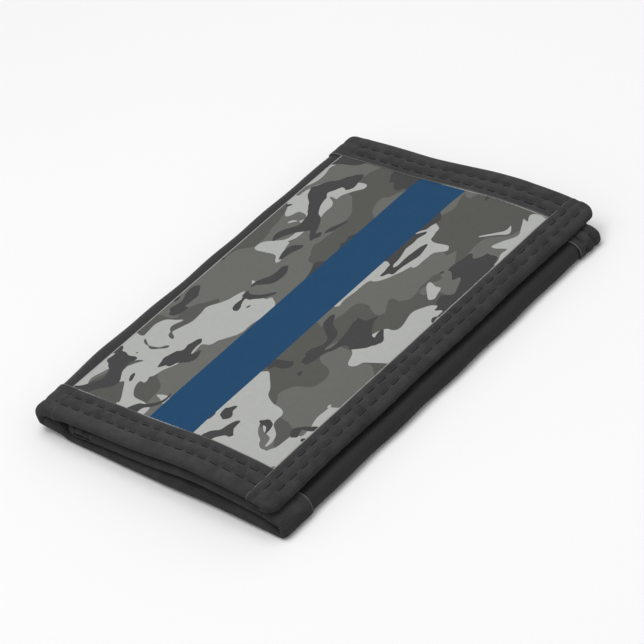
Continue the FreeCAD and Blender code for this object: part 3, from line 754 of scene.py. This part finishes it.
UNDER_FLAP_EDGE, UNDER_LEAF_EDGE = FLAP_EDGE - EDGE_WIDE, LEAF_EDGE + WIDE
for sign, side, thick_of in ((-1, "near", near_thick), (1, "far", far_thick)):
    end_tape("tape_flap_" + side, panel_walk(FLAP, UNDER_FLAP_EDGE + HIDDEN_TURN, LEFT_X + FOLD_LAP), sign,
             thick_of, "binding_flap_" + side, "flap", hidden_from=UNDER_FLAP_EDGE)
    end_tape("tape_left_fold_" + side, fold_walk(LEFT), sign, thick_of, "fold_left_tape_" + side,
             blend=fold_blend(LEFT))
    end_tape("tape_centre_" + side, panel_walk(CENTRE, LEFT_X + FOLD_LAP, RIGHT_X - FOLD_LAP), sign, thick_of,
             "binding_centre_" + side, "centre")
    end_tape("tape_right_fold_" + side, fold_walk(RIGHT), sign, thick_of, "fold_right_tape_" + side,
             blend=fold_blend(RIGHT))
    end_tape("tape_leaf_" + side, panel_walk(LEAF, RIGHT_X - FOLD_LAP, UNDER_LEAF_EDGE - HIDDEN_TURN), sign,
             thick_of, "binding_leaf_" + side, "leaf", hidden_from=UNDER_LEAF_EDGE)


def edge_tape(name, part, edge, inward, wide, stitch_at, thick, extra, corner, node, body, near):
    """Tape over a panel's free edge. Its ends lap over the end tapes and close on rounded corners,
    and it stands an extra bit proud of them on both faces."""
    far = HALF_LONG + END_LAP - FAR_SHORT
    ends = [near + CORNER_RUN * (1 - math.cos(math.pi / 2 * i / 8)) for i in range(9)]
    stations = ends + spread(ends[-1], far - CORNER_RUN, 0.5)[1:-1] + [near + far - y for y in ends[::-1]]
    marks, count = beats([Vector((0, y, 0)) for y in stations])
    rows, seams = [], [[], [], [], []]
    for y, beat in zip(stations, marks):
        into = min(y - near, far - y)
        cut = corner - math.sqrt(max(0.0, corner ** 2 - max(0.0, corner - into) ** 2))
        pinch = 0.25 + 0.75 * math.sqrt(1 - (1 - min(1.0, into / 1.4)) ** 2)
        waver = 0.12 * math.sin(y * 0.19 + edge)

        def place(c, level):
            return spot(part, edge + inward * (wide - c + waver * c / wide), y, level)

        rows.append(tape_row(place, beat, wide, wide - cut, stitch_at, thick, 1.0, 0.5, extra, pinch))
        for n, c in enumerate(stitch_at):
            seams[n].append(place(c, extra - THREAD_SUNK))
            seams[n + 2].append(place(c, THREAD_SUNK - thick - extra))
    return finish_tape(name, rows, seams, marks, count, (0, -inward), node, body, skip=1)


edge_tape("tape_flap_edge", FLAP, FLAP_EDGE, -1, EDGE_WIDE, EDGE_ROWS, 2.5, 0.2, 2.8, "binding_flap_edge",
          "flap", -HALF_LONG - END_LAP)
edge_tape("tape_leaf_edge", LEAF, LEAF_EDGE, 1, WIDE, ROWS, 2.6, 0.1, 3.2, "binding_leaf_edge", "leaf",
          0.1 - HALF_LONG)

# Linings and pockets: thin uncoated nylon. The linings close the back of each panel, and each
# pocket is one more cloth over its lining with a turned and stitched hem along its mouth.
lining_nylon = twill("lining_nylon", (0.016, 0.016, 0.0165), (0.032, 0.032, 0.0335), 0.3, 0.5, 0.03)
HEM, HEM_RISE, HEM_SEAM = 5.0, 0.22, 1.1


def hem_level(level, mouth):
    """A pocket's level, with a double ply along its mouth and a dimple where the hem is sewn."""
    def rule(x, y):
        rise = HEM_RISE * ease(y, mouth - HEM - 0.6, mouth - HEM + 0.1)
        rise -= 0.16 * math.exp(-((y - mouth + HEM - HEM_SEAM) / 0.45) ** 2)
        return level - rise
    return rule


def pocket(name, part, x, mouth, level, node):
    """A card pocket with its hem's stitches. It runs from the near tape to its mouth."""
    near_mouth = mouth - HEM - 2
    cloth(name, part, x, (POCKET_FOOT, mouth), hem_level(level, mouth), node, lining_nylon, "lining_nylon",
          THIN_CLOTH, inside=True,
          ys=spread(POCKET_FOOT, near_mouth, 2.0)[:-1] + spread(near_mouth, mouth, 0.25))
    row = [spot(part, a, mouth - HEM + HEM_SEAM, level - 0.05) for a in spread(x[0] + 2, x[1] - 2, 3.0)]
    sew("stitches_" + name, [row], "lining_nylon", BODY_OF[part], **FINE)


SEAM_GAP, TAPE_SEEN, LINING = 0.15, 9.5, 0.3
FAR_SEAM = HALF_LONG - TAPE_SEEN - SEAM_GAP
POCKET_FOOT = SEAM_GAP - (HALF_LONG - TAPE_SEEN)
for name, part, x, level in (("flap", FLAP, (LEFT_X, FLAP_EDGE - EDGE_WIDE + 0.2), -1.35),
                             ("centre", CENTRE, (LEFT_X, RIGHT_X), -1.35),
                             ("leaf", LEAF, (LEAF_EDGE + 1, RIGHT_X), -5.55 - LEAF_TOP)):
    cloth("lining_of_" + name, part, x, (ENDS[0], FAR_SEAM), level, "lining_" + name, lining_nylon,
          "lining_nylon", LINING, "outer_" + name, inside=True)
centre_pocket = (LEFT_X + SEAM_GAP, RIGHT_X - SEAM_GAP)
pocket("card_pocket_back", CENTRE, centre_pocket, 27.17, -1.6, "card_pocket_centre_back")
pocket("card_pocket_front", CENTRE, centre_pocket, 13.17, -1.87, "card_pocket_centre_front")
pocket("card_pocket_of_leaf", LEAF, (LEAF_EDGE + 9.65, RIGHT_X - 4.75), 27.17, -5.8 - LEAF_TOP,
       "card_pocket_leaf")

# Identity pocket: a cloth frame sewn to the flap's lining on three sides, with a clear vinyl window
# under it. The vinyl is soft and waves a little, so it catches the light in streaks.
FRAME_X, FRAME_Y = (-36.83, 23.2), (POCKET_FOOT, 41.17)
OPEN_X, OPEN_Y, VINYL_LAP = (-30.83, 17.2), (-44.83, 35.17), 2.5


def framed(outer, gap):
    """Grid places across the frame, closer over its cloth than over its opening."""
    return (spread(outer[0], gap[0], 1.0) + spread(gap[0], gap[1], 1.6)[1:-1]
            + spread(gap[1], outer[1], 1.0))


def in_window(a, b):
    x, y = (a.x + b.x) / 2, (a.y + b.y) / 2
    return OPEN_X[0] < x < OPEN_X[1] and OPEN_Y[0] < y < OPEN_Y[1]


frame_area = ((FRAME_X[1] - FRAME_X[0]) * (FRAME_Y[1] - FRAME_Y[0])
              - (OPEN_X[1] - OPEN_X[0]) * (OPEN_Y[1] - OPEN_Y[0]))
cloth("identity_frame", FLAP, FRAME_X, FRAME_Y, -1.78, "id_pocket_frame", outer_nylon, "outer_nylon",
      THIN_CLOTH, "lining_of_flap", inside=True, hole=in_window, area=frame_area,
      xs=framed(FRAME_X, OPEN_X), ys=framed(FRAME_Y, OPEN_Y))
vinyl = cloth_material("clear_vinyl", (0.93, 0.95, 0.96), 0.12, 0.0, 0.5)
w = Finish(vinyl)
w.shader.inputs["Transmission Weight"].default_value = 1.0
w.shader.inputs["IOR"].default_value = 1.45
place = w.cloth_map()[0]
w.rough(0.03, w.noise(place, 9.0, 3.0), 0.10)
w.bump(w.noise(place, 16.0, 0.0), 0.15, 0.0006)
cloth("identity_window", FLAP, *((gap[0] - VINYL_LAP, gap[1] + VINYL_LAP) for gap in (OPEN_X, OPEN_Y)),
      lambda x, y: -1.51 + 0.03 * math.sin(x * 0.4) * math.sin(y * 0.23), "id_window", vinyl, "clear_vinyl",
      0.10, "lining_of_flap", inside=True)


def frame_row(inset, level):
    """Stitch centres round the window, out from its edge by the inset."""
    corners = [(OPEN_X[i] + inset * (2 * i - 1), OPEN_Y[j] + inset * (2 * j - 1))
               for i, j in ((0, 0), (1, 0), (1, 1), (0, 1))]
    rows = []
    for a, b in zip(corners, corners[1:] + corners[:1]):
        count = round(math.dist(a, b) / 3.0)
        spots = [(a[0] + (b[0] - a[0]) * (i + 0.5) / count, a[1] + (b[1] - a[1]) * (i + 0.5) / count)
                 for i in range(count)]
        rows.append([spot(FLAP, x, y, level) for x, y in spots])
    return rows


sew("stitches_identity_frame", frame_row(1.5, -1.81), "outer_nylon", "flap", **FINE)

# Coin pocket: its front is the leaf's outer face, in two cloths with the zip between them. Each cloth
# is turned under beside the zip and sewn to the zip's tape.
ZIP_X, SLIT, TURNED = 13.0, 3.0, 6
COIN_LEVEL = -0.35


def turned_edge(edge, inward):
    """A folded edge beside the zip: the double ply stands a little proud."""
    def rule(x, y):
        into = (x - edge) * inward
        double_ply = 0.12 * ease(into, -0.1, 0.8) * (1 - ease(into, 4.0, 4.6))
        return COIN_LEVEL + double_ply - 0.1 * ease(1 - into, 0, 1)
    return rule


cloth("coin_front_cloth", LEAF, (LEAF_EDGE + 1, ZIP_X - SLIT), ENDS, turned_edge(ZIP_X - SLIT, -1),
      "coin_pocket_front", outer_nylon, "outer_nylon", THIN_CLOTH, "outer_leaf",
      xs=spread(LEAF_EDGE + 1, ZIP_X - SLIT - TURNED, 1.5)[:-1]
      + spread(ZIP_X - SLIT - TURNED, ZIP_X - SLIT, 0.3))
cloth("coin_side_cloth", LEAF, (ZIP_X + SLIT, RIGHT_X - FOLD_LAP), ENDS, turned_edge(ZIP_X + SLIT, 1),
      "coin_pocket_side", outer_nylon, "outer_nylon", THIN_CLOTH, "outer_leaf",
      xs=spread(ZIP_X + SLIT, ZIP_X + SLIT + TURNED, 0.3)
      + spread(ZIP_X + SLIT + TURNED, RIGHT_X - FOLD_LAP, 1.5)[1:])
zip_rows = [[spot(LEAF, ZIP_X + side * (SLIT + 1.6), y, COIN_LEVEL + 0.12) for y in spread(-49, 49, 3.0)]
            for side in (-1, 1)]
sew("stitches_coin_pocket", zip_rows, "outer_nylon", "leaf", **FINE)

# Zip: two woven tapes, moulded teeth on their cords, and a cast slider with its pull. The tapes are
# herringbone polyester, sewn in behind the coin pocket's cloths.
zip_woven = cloth_material("zip_tape", (0.018, 0.018, 0.019), 0.8, 0.05, 0.2)
w = Finish(zip_woven)
place, along, across = w.cloth_map()
slope = w.sum("MULTIPLY", w.sum("ABSOLUTE", w.wave(along, 3.2)), 0.6)
rib = w.wave(w.sum("ADD", across, slope), 0.45)
w.color(w.shade(w.sum("ADD", w.sum("MULTIPLY", rib, 0.3), w.noise(place, 2.0, 3.0)),
                (0.2, (0.012, 0.012, 0.0125)), (0.85, (0.034, 0.034, 0.035))))
w.bump(rib, 0.5, 0.00008)
ZIP_TAPE, ZIP_CORD = 6.5, 1.5
for side, sign in (("left", -1), ("right", 1)):
    xs = [ZIP_X + sign * (ZIP_CORD + s) for s in spread(0, ZIP_TAPE, 0.5)]
    rows = [[spot(LEAF, x, y, -0.62) for y in spread(ENDS[0], ENDS[1], 1.5)] for x in xs]
    tape = grid_mesh("zip_ribbon_" + side, rows)
    face_to(tape, 2, 1)
    finish_piece(tape, zip_woven, "zip_tape", "leaf", "zip_tape_" + side, thick=THIN_CLOTH)

tooth_plastic = cloth_material("zip_teeth", (0.022, 0.022, 0.023), 0.38, 0.0, 0.5)
w = Finish(tooth_plastic)
place = w.object_place()
scuff = w.noise(place, 0.0008, 3.0)
w.color(w.shade(scuff, (0.3, (0.016, 0.016, 0.017)), (0.8, (0.034, 0.034, 0.036))))
w.rough(0.28, scuff, 0.25)
metal = cloth_material("zip_metal", (0.16, 0.16, 0.17), 0.3, 0.0, 0.5)
w = Finish(metal)
w.shader.inputs["Metallic"].default_value = 1.0
place = w.object_place()
scuff = w.noise(place, 0.0012, 5.0, 0.6)
w.color(w.shade(scuff, (0.3, (0.10, 0.10, 0.105)), (0.8, (0.30, 0.30, 0.31))))
w.rough(0.2, scuff, 0.3)
w.bump(w.noise(place, 0.0004, 2.0), 0.2, 0.00004)
for node, material, slot in (("zip_teeth_left", tooth_plastic, "zip_teeth"),
                             ("zip_teeth_right", tooth_plastic, "zip_teeth"),
                             ("zip_stops", metal, "zip_metal"), ("zip_slider", metal, "zip_metal"),
                             ("zip_pull", metal, "zip_metal")):
    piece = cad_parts[node]
    piece.data.materials.clear()
    piece.data.materials.append(material)

# Closure: a strip of moulded hooks sewn under the flap meets a strip of napped loops on the leaf.
# Both are woven tapes 10 mm wide, sewn round their edges.
strip_woven = cloth_material("strip_backing", (0.020, 0.020, 0.021), 0.85, 0.05, 0.2)
w = Finish(strip_woven)
place, along, across = w.cloth_map()
grain = w.sum("MULTIPLY", w.wave(along, 0.5), w.wave(across, 0.5))
w.color(w.shade(w.sum("ADD", w.sum("MULTIPLY", grain, 0.2), w.noise(place, 1.5, 3.0)),
                (0.2, (0.013, 0.013, 0.0135)), (0.85, (0.036, 0.036, 0.037))))
w.bump(grain, 0.5, 0.00008)
hook_plastic = cloth_material("hook_plastic", (0.030, 0.030, 0.031), 0.45, 0.0, 0.4)
w = Finish(hook_plastic)
place = w.object_place()
w.color(w.shade(w.noise(place, 0.003, 2.0), (0.3, (0.022, 0.022, 0.023)), (0.8, (0.045, 0.045, 0.047))))
pile_yarn = cloth_material("pile_yarn", (0.030, 0.030, 0.031), 0.9, 0.3, 0.1)
w = Finish(pile_yarn)
place = w.object_place()
w.color(w.shade(w.noise(place, 0.002, 3.0), (0.3, (0.020, 0.020, 0.021)), (0.8, (0.050, 0.050, 0.052))))
STRIP_X, STRIP_Y = (23.3, 33.42), (-47.5, 47.5)
cloth("hook_backing", FLAP, STRIP_X, STRIP_Y, -1.70, "hook_strip", strip_woven, "hook_tape", 0.33,
      "lining_of_flap", inside=True)
cloth("loop_backing", LEAF, STRIP_X, STRIP_Y, -0.05, "loop_strip", strip_woven, "loop_tape", 0.28,
      "coin_side_cloth")

bristles = Repeat("bristles", "Height", "Thickness", "Lean", "Turn spread")
stem = bristles.node("GeometryNodeCurvePrimitiveBezierSegment", Resolution=5, Start=(0, 0, 0))
for point, lean, rise in (("Start Handle", 0.0, 0.7), ("End Handle", 0.75, 1.25), ("End", 1.0, 0.45)):
    place = bristles.node("ShaderNodeCombineXYZ")
    for axis, share, size in (("X", lean, "Lean"), ("Z", rise, "Height")):
        bristles.join(bristles.sum("MULTIPLY", bristles.given[size], share), place.inputs[axis])
    bristles.join(place.outputs[0], stem.inputs[point])
ring = bristles.node("GeometryNodeCurvePrimitiveCircle", Resolution=4)
bristles.join(bristles.sum("MULTIPLY", bristles.given["Thickness"], 0.5), ring.inputs["Radius"])
strand = bristles.node("GeometryNodeCurveToMesh", Fill_Caps=True)
bristles.join(stem.outputs[0], strand.inputs["Curve"])
bristles.join(ring.outputs[0], strand.inputs["Profile Curve"])
spin = bristles.node("FunctionNodeRandomValue", data_type="FLOAT", Seed=4)
bristles.join(bristles.given["Turn spread"], spin.inputs["Max"])
turned = bristles.node("ShaderNodeCombineXYZ")
bristles.join([o for o in spin.outputs if o.enabled][0], turned.inputs["Z"])
around = bristles.node("FunctionNodeEulerToRotation")
bristles.join(turned.outputs[0], around.inputs[0])
stood = bristles.node("FunctionNodeRotateRotation", rotation_space="LOCAL")
bristles.join(bristles.aimed("GeometryNodeInputNormal"), stood.inputs[0])
bristles.join(around.outputs[0], stood.inputs[1])
bristles.close(bristles.lay(bristles.given["Geometry"], strand.outputs[0], stood.outputs[0]).outputs[0])


def strip_grid(name, part, level, step, up):
    """A grid of places on a strip, as a sheet whose normals give the way its bristles stand."""
    rows = [[spot(part, x, y, level) for y in spread(STRIP_Y[0] + 0.8, STRIP_Y[1] - 0.8, step)]
            for x in spread(STRIP_X[0] + 0.9, STRIP_X[1] - 0.9, step)]
    sheet = grid_mesh(name, rows)
    face_to(sheet, 2, up)
    mesh = sheet.data
    bpy.data.objects.remove(sheet)
    return mesh


hooks = bristles.make("hooks", strip_grid("hook_places", FLAP, -1.69, 1.05, -1), hook_plastic, Height=0.00036,
                      Thickness=0.00016, Lean=0.00035, Turn_spread=0.5)
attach(hooks, "flap")
loops = bristles.make("loops", strip_grid("loop_places", LEAF, -0.04, 0.62, 1), pile_yarn, Height=0.00024,
                      Thickness=0.00010, Lean=0.00045, Turn_spread=6.283)
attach(loops, "leaf")
for name, part, level, body, slot in (("hook", FLAP, -1.73, "flap", "hook_tape"),
                                      ("loop", LEAF, -0.02, "leaf", "loop_tape")):
    rows = [[spot(part, x, y, level) for y in spread(STRIP_Y[0] + 1.5, STRIP_Y[1] - 1.5, 3.0)]
            for x in (STRIP_X[0] + 0.5, STRIP_X[1] - 0.5)]
    sew("stitches_%s_strip" % name, rows, slot, body, **FINE)

# Camera, light and table. The wallet is seen as it was photographed: from the near right, some 37
# degrees above a white table, with a long lens, under soft light from above.
FOCAL, AZIMUTH, ELEVATION, ROLL, AWAY = 2944.543, 53.936, 36.731, -18.673, 0.721938
MIDDLE_X, MIDDLE_Y, PICTURE, SENSOR = 326.229, 331.137, 644, 36
a, e, r = (math.radians(v) for v in (AZIMUTH, ELEVATION, ROLL))
back = Vector((math.sin(a) * math.cos(e), -math.cos(a) * math.cos(e), math.sin(e)))
right = Vector((math.cos(a), math.sin(a), 0))
up = back.cross(right)
right, up = math.cos(r) * right + math.sin(r) * up, math.cos(r) * up - math.sin(r) * right
lens = bpy.data.cameras.new("camera")
lens.sensor_width, lens.lens = SENSOR, FOCAL * SENSOR / PICTURE
lens.shift_x, lens.shift_y = (PICTURE / 2 - MIDDLE_X) / PICTURE, (MIDDLE_Y - PICTURE / 2) / PICTURE
lens.clip_start, lens.clip_end = 0.01, 50
camera = bpy.data.objects.new("camera", lens)
bpy.context.collection.objects.link(camera)
seen_from = Matrix((right, up, back)).transposed().to_4x4()
seen_from.translation = back * AWAY
camera.matrix_world = seen_from
bpy.context.scene.camera = camera

table = bpy.data.objects.new("table", bpy.data.meshes.new("table"))
table.data.from_pydata([(-3, -3, 0), (3, -3, 0), (3, 3, 0), (-3, 3, 0)], [], [(0, 1, 2, 3)])
bpy.context.collection.objects.link(table)


def looked_at(w):
    """1 where a ray shows a background to the camera, also in metal or through clear film."""
    rays = w.node("ShaderNodeLightPath").outputs
    glossy = w.sum("MAXIMUM", rays["Is Camera Ray"], rays["Is Glossy Ray"])
    return w.sum("MAXIMUM", glossy, rays["Is Transmission Ray"])


TABLE_SEEN, TABLE_BOUNCED = (0.98, 0.98, 0.98), (0.35, 0.35, 0.35)
white = cloth_material("table_paint", TABLE_SEEN, 0.9, 0.0, 0.1)
w = Finish(white)
w.color(w.mix(looked_at(w), TABLE_BOUNCED, TABLE_SEEN))
table.data.materials.append(white)


def lamp(name, place, size, power):
    light = bpy.data.lights.new(name, "AREA")
    light.size, light.energy = size, power
    holder = bpy.data.objects.new(name, light)
    bpy.context.collection.objects.link(holder)
    holder.location = place
    holder.rotation_euler = (-Vector(place)).to_track_quat("-Z", "Y").to_euler()


lamp("overhead", (-0.12, 0.05, 1.1), 0.8, 4.8)
lamp("near_key", (-0.05, -0.20, 0.5), 0.25, 0.38)
lamp("right_fill", (0.85, 0.1, 0.45), 0.6, 0.9)
room = bpy.data.worlds.new("room")
room.use_nodes = True
bpy.context.scene.world = room
w = Nodes(room.node_tree)
glow = room.node_tree.nodes["Background"]
glow.inputs["Color"].default_value = (1, 1, 1, 1)
glow.inputs["Strength"].default_value = 0.5
seen = w.node("ShaderNodeBackground", Color=(1, 1, 1, 1))
choice = w.node("ShaderNodeMixShader")
for out, into in ((looked_at(w), 0), (glow.outputs[0], 1), (seen.outputs[0], 2)):
    w.join(out, choice.inputs[into])
w.join(choice.outputs[0], room.node_tree.nodes["World Output"].inputs["Surface"])
bpy.context.scene.view_settings.view_transform = "Standard"
